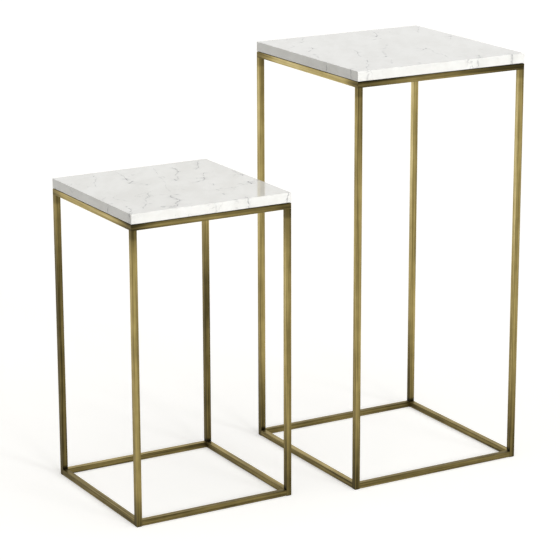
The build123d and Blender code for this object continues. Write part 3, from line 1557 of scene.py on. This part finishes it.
@dataclass
class Studio:
    """White floor, soft lamps overhead and low in front, pale surroundings and the camera."""

    floor_size: float = 40.0
    floor_colour: Colour = (0.8, 0.79, 0.77, 1.0)
    floor_roughness: float = 0.9
    floor_lift: float = 0.378
    sky_colour: Colour = (1.0, 1.0, 1.0, 1.0)
    ambient: float = 0.1
    lamps: tuple[Lamp, ...] = (
        Lamp("front_left_lamp", (0.05, 0.95, -0.31), 0.965, math.radians(14), COOL_WHITE),
        Lamp("front_right_lamp", (-0.28, 0.91, -0.31), 0.965, math.radians(14), COOL_WHITE),
        Lamp("overhead_lamp", (0.0, 0.33, -0.94), 1.91, math.radians(90), WARM_WHITE),
    )
    camera_place: Vector = field(default_factory=lambda: Vector((-2.0274, -3.4534, 1.4638)))
    camera_aim: Vector = field(default_factory=lambda: Vector((-0.0167, 0.0018, 0.3468)))
    camera_roll: float = -0.002
    lens: float = 152.0

    def seen(self, tree: Tree) -> Socket:
        """Gives 1 to the camera and to rays from shiny and clear surfaces, and 0 to others.

        Args:
            tree: Node tree of the floor or of the world.

        Returns:
            The socket with the 1 or 0.
        """
        path = place(tree, "NodeLightPath").outputs
        shiny = calculate(tree, "MAXIMUM", path["Is Glossy Ray"], path["Is Transmission Ray"])
        return calculate(tree, "MAXIMUM", path["Is Camera Ray"], shiny)

    def build_floor(self) -> None:
        """Lays the floor, which shows white and keeps the tables' shadow."""
        deselect_all()
        bpy.ops.mesh.primitive_plane_add(size=self.floor_size)
        floor = name_piece("floor")
        material, tree, shader = start_material("white_floor")
        matt = {"Roughness": self.floor_roughness, "Specular IOR Level": 0.0}
        feed(tree, shader, {"Base Color": self.floor_colour} | matt)
        lift = calculate(tree, "MULTIPLY", self.seen(tree), self.floor_lift)
        glow = place(tree, "NodeEmission", {"Strength": lift})
        both = place(tree, "NodeAddShader", {0: shader.outputs[0], 1: glow.outputs[0]})
        feed(tree, tree.nodes["Material Output"], {"Surface": both.outputs[0]})
        floor.data.materials.append(material)

    def build_light(self) -> None:
        """Sets the lamps and the pale surroundings."""
        for lamp in self.lamps:
            lamp.build()
        world = bpy.data.worlds.new("pale_surroundings")
        world.use_nodes = True
        bpy.context.scene.world = world
        tree = world.node_tree
        extra = calculate(tree, "MULTIPLY", self.seen(tree), 1.0 - self.ambient)
        strength = calculate(tree, "ADD", extra, self.ambient)
        feed(tree, tree.nodes["Background"], {"Color": self.sky_colour, "Strength": strength})

    def build_camera(self) -> None:
        """Sets the camera at the photograph's place and angle."""
        deselect_all()
        turn = (self.camera_aim - self.camera_place).to_track_quat("-Z", "Y")
        turn = turn @ Quaternion((0.0, 0.0, 1.0), self.camera_roll)
        bpy.ops.object.camera_add(location=self.camera_place, rotation=turn.to_euler())
        camera = bpy.context.object
        camera.data.lens = self.lens
        bpy.context.scene.camera = camera
        bpy.context.scene.view_settings.view_transform = "Standard"


# Listed looks

SMALL_VEINS = (
    Vein((-82, 140), (-87, 110), 0.45),
    Vein((-87, 110), (-107, 78), 0.45),
    Vein((-107, 78), (-117, 47), 0.35),
    Vein((-32, 143), (-42, 87), 0.35, 2.2),
    Vein((-42, 87), (-50, 68), 1.0, 1.8),
    Vein((-55, 50), (-36, 61), 0.7, 3.2),
    Vein((-38, 45), (-30, 13), 0.35, 2.4),
    Vein((35, 130), (17, 73), 0.35),
    Vein((17, 73), (-25, -47), 0.26, 2.0),
    Vein((65, 117), (58, 78), 0.85),
    Vein((58, 78), (30, 32), 0.42, 3.0),
    Vein((28, 38), (24, 26), 0.45, 5.0),
    Vein((64, 28), (62, 20), 0.35, 4.0),
    Vein((130, 145), (107, 103), 0.55),
    Vein((107, 103), (92, 80), 0.8),
    Vein((97, 60), (78, 22), 0.6),
    Vein((78, 22), (68, 5), 1.0, 1.9),
    Vein((68, 2), (38, -2), 0.4, 3.0),
    Vein((70, -23), (62, -42), 0.42, 2.2),
    Vein((145, 50), (143, 20), 0.5),
    Vein((145, 20), (142, 0), 0.9, 2.0),
    Vein((130, -43), (122, -58), 1.0, 2.4),
    Vein((122, -50), (100, -52), 0.3, 4.0),
    Vein((84, -68), (76, -84), 0.4, 3.0),
    Vein((50, -95), (42, -108), 0.32, 4.0),
    Vein((-18, -63), (-33, -70), 0.45, 3.0),
    Vein((-33, -70), (-40, -85), 1.0, 1.8),
    Vein((-40, -85), (-34, -98), 1.0, 1.8),
    Vein((-34, -98), (-48, -117), 0.9),
    Vein((-48, -117), (-58, -138), 0.7, 2.0),
    Vein((-60, -133), (-72, -138), 1.0, 2.6),
    Vein((-76, -130), (-82, -124), 0.85, 2.0),
    Vein((-57, -28), (-66, -48), 0.75),
    Vein((-66, -48), (-90, -88), 0.42, 2.2),
    Vein((-90, -88), (-118, -127), 0.38, 2.4),
    Vein((-130, -90), (-145, -138), 0.42, 3.0),
    Vein((-86, -100), (-100, -92), 0.3, 5.0),
    Vein((43, -138), (47, -155), 0.3, 7.0),
    Vein((-2, -142), (10, -156), 0.26, 3.0),
    Vein((68, -138), (70, -155), 0.85, 1.8),
    Vein((142, -140), (145, -155), 0.52, 2.0),
    Vein((-142, -64), (-156, -69), 0.5, 2.4),
    Vein((-140, -139), (-156, -143), 0.65, 2.8),
)

TALL_VEINS = (
    Vein((-81, 157), (-110, 111), 0.42, 2.0),
    Vein((-132, 102), (-160, 76), 0.24, 5.0),
    Vein((-117, 68), (-125, 55), 0.7, 2.0),
    Vein((-125, 55), (-145, 30), 0.42, 2.0),
    Vein((-149, 11), (-155, -30), 0.32, 6.0),
    Vein((68, 151), (49, 121), 0.55, 2.0),
    Vein((49, 121), (34, 98), 0.72, 2.2),
    Vein((37, 90), (17, 78), 0.4, 3.6),
    Vein((66, 145), (77, 140), 0.5, 4.0),
    Vein((162, 162), (128, 98), 0.34, 2.6),
    Vein((160, 45), (155, 36), 0.6, 5.0),
    Vein((157, 36), (140, 11), 0.28, 2.4),
    Vein((-68, -2), (-79, -26), 0.62, 2.0),
    Vein((-79, -26), (-94, -57), 0.36, 2.4),
    Vein((-62, 20), (-74, -18), 0.26, 3.4),
    Vein((-96, -83), (-128, -132), 0.5, 2.0),
    Vein((-128, -132), (-147, -163), 0.42, 2.0),
    Vein((-148, -164), (-153, -172), 0.26, 4.0),
    Vein((19, 30), (-26, -23), 0.26, 4.0),
    Vein((-26, -23), (-54, -66), 0.28, 5.5),
    Vein((-52, -66), (-61, -81), 0.48, 4.0),
    Vein((-62, -100), (-83, -138), 0.28, 3.4),
    Vein((52, -38), (28, -62), 0.5, 3.0),
    Vein((36, -28), (50, -54), 0.36, 4.0),
    Vein((48, -60), (30, -158), 0.28, 2.6),
    Vein((-36, -150), (-44, -162), 0.3, 7.0),
    Vein((91, -144), (69, -174), 0.62, 1.8),
    Vein((75, -160), (66, -176), 0.36, 2.4),
    Vein((162, -150), (141, -174), 0.4, 1.8),
    Vein((141, -152), (150, -176), 0.55, 1.8),
    Vein((-148, -166), (-154, -176), 0.3, 2.4),
    Vein((-160, -66), (-176, -74), 0.4, 3.0),
    Vein((-158, -140), (-176, -148), 0.42, 4.6),
)

# Tube tones, matched tube by tube: uneven patina together with painted light and shade, such as darker feet
# near the floor, one face lighter or darker and painted shade under the slab.
RING = Antiquing(0.75, 0.5, 0.75)
BASE = Antiquing(0.82, 0.8, 0.82, face=(-0.1, -0.1))
LEG = Antiquing(0.8, 0.5, 0.6, reach=(0.25, 0.12), face=(0.16, -0.4), face_share=0.95)

TALL_TONES = {
    "top_rail_front": Antiquing(1.0, 0.65, 1.1, reach=(0.38, 0.5), rim=0.18),
    "top_rail_left": Antiquing(0.92, 0.24, 0.78, reach=(0.14, 0.25)),
    "base_rail_front": Antiquing(0.82, 0.8, 0.82, face=(-0.1, 0.0)),
    "base_rail_left": Antiquing(0.95, 0.76, 0.84, reach=(0.3, 0.2), face=(-0.46, -0.4)),
    "base_rail_right": Antiquing(0.82, 0.8, 0.82, face=(-0.3, -0.34)),
    "leg_front_left": Antiquing(0.95, 0.52, 0.72, reach=(0.25, 0.35), face=(0.14, -0.2)),
    "leg_front_right": Antiquing(0.88, 0.5, 0.6, reach=(0.25, 0.12), face=(0.02, -0.34), face_share=0.95),
    "leg_back_left": Antiquing(0.85, 0.5, 0.62, reach=(0.25, 0.12), face=(0.22, -0.22)),
}
SMALL_TONES = {
    "top_rail_front": Antiquing(1.08, 0.66, 0.9, reach=(0.18, 0.4)),
    "top_rail_left": Antiquing(0.95, 0.38, 0.78, reach=(0.25, 0.12)),
    "base_rail_front": Antiquing(0.85, 0.82, 0.85, face=(-0.2, -0.12)),
    "base_rail_left": Antiquing(0.85, 0.84, 0.85, face=(-0.2, -0.08)),
    "base_rail_back": Antiquing(0.82, 0.8, 0.82, face=(-0.38, -0.25)),
    "base_rail_right": Antiquing(0.84, 0.79, 0.82, face=(-0.35, -0.25)),
    "leg_front_left": Antiquing(0.98, 0.54, 0.84, reach=(0.13, 0.12), face=(0.12, -0.1)),
    "leg_front_right": Antiquing(0.95, 0.53, 0.87, reach=(0.3, 0.25), face=(0.14, -0.18)),
    "leg_back_left": Antiquing(0.9, 0.87, 0.6, reach=(0.2, 0.32), face=(0.12, 0.04)),
    "leg_back_right": Antiquing(0.88, 0.86, 0.28, reach=(0.2, 0.45), face=(0.12, 0.0)),
}

BLACK = (0.018, 0.018, 0.018, 1.0)
RUBBER = Moulded(Slot.RUBBER.value, BLACK, (0.035, 0.035, 0.034, 1.0), (0.7, 0.8), 1500.0)
PLASTIC = Moulded(Slot.PLASTIC.value, BLACK, (0.04, 0.04, 0.04, 1.0), (0.45, 0.55), 1100.0)
ZINC = TurnedMetal(Slot.ZINC.value, (0.6, 0.6, 0.62, 1.0), (0.38, 0.38, 0.4, 1.0), (0.28, 0.43))
INSERT = TurnedMetal(Slot.INSERT.value, (0.75, 0.55, 0.22, 1.0), (0.5, 0.36, 0.14, 1.0), (0.3, 0.45))


def frame_tones(special: dict[str, Antiquing]) -> dict[str, Antiquing]:
    """Gives every tube of a frame its tones: patina and painted light and shade.

    Args:
        special: Tones of the tubes that differ from the plain ones, by node.

    Returns:
        The tones of each tube, by its node's name.
    """
    plain = {Repeat.LEG: LEG, Repeat.BASE_RAIL: BASE, Repeat.TOP_RAIL: RING}
    tones = {kind.node(side): tone for kind, tone in plain.items() for side in Side}
    return tones | special


def write_sizes() -> None:
    """Updates the view layer."""
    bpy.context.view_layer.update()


def main() -> None:
    """Builds and dresses both tables, then the studio."""
    logging.basicConfig(level=logging.INFO, format="%(name)s: %(message)s")
    effects = Effects()
    brass = {run: AntiqueBrass(f"{Slot.BRASS.value}_{run.title}", run).material(effects) for run in Run}
    finishes = (RUBBER, PLASTIC, ZINC, INSERT)
    rubber, plastic, zinc, turned = (finish.material(effects) for finish in finishes)
    looks = {
        Table("tall", "tall_table"): (TALL_VEINS, TALL_TONES),
        Table("small", "small_table"): (SMALL_VEINS, SMALL_TONES),
    }
    for table, (veins, tones) in looks.items():
        top = StoneTop(table)
        top.dress(top.build(), Marble(table.node("marble"), table.axis, veins), effects)
        tubes = TubeFrame(table, frame_tones(tones))
        tubes.build()
        tubes.dress(brass)
        fixings = TopFixings(table)
        fixings.build_strips(rubber)
        fixings.build_tabs(brass[Run.ACROSS])
        fixings.build_screws(zinc)
        fixings.dress_inserts(turned)
        FootGlides(table).build(plastic)
    studio = Studio()
    studio.build_floor()
    studio.build_light()
    studio.build_camera()
    write_sizes()


if __name__ == "__main__":
    main()
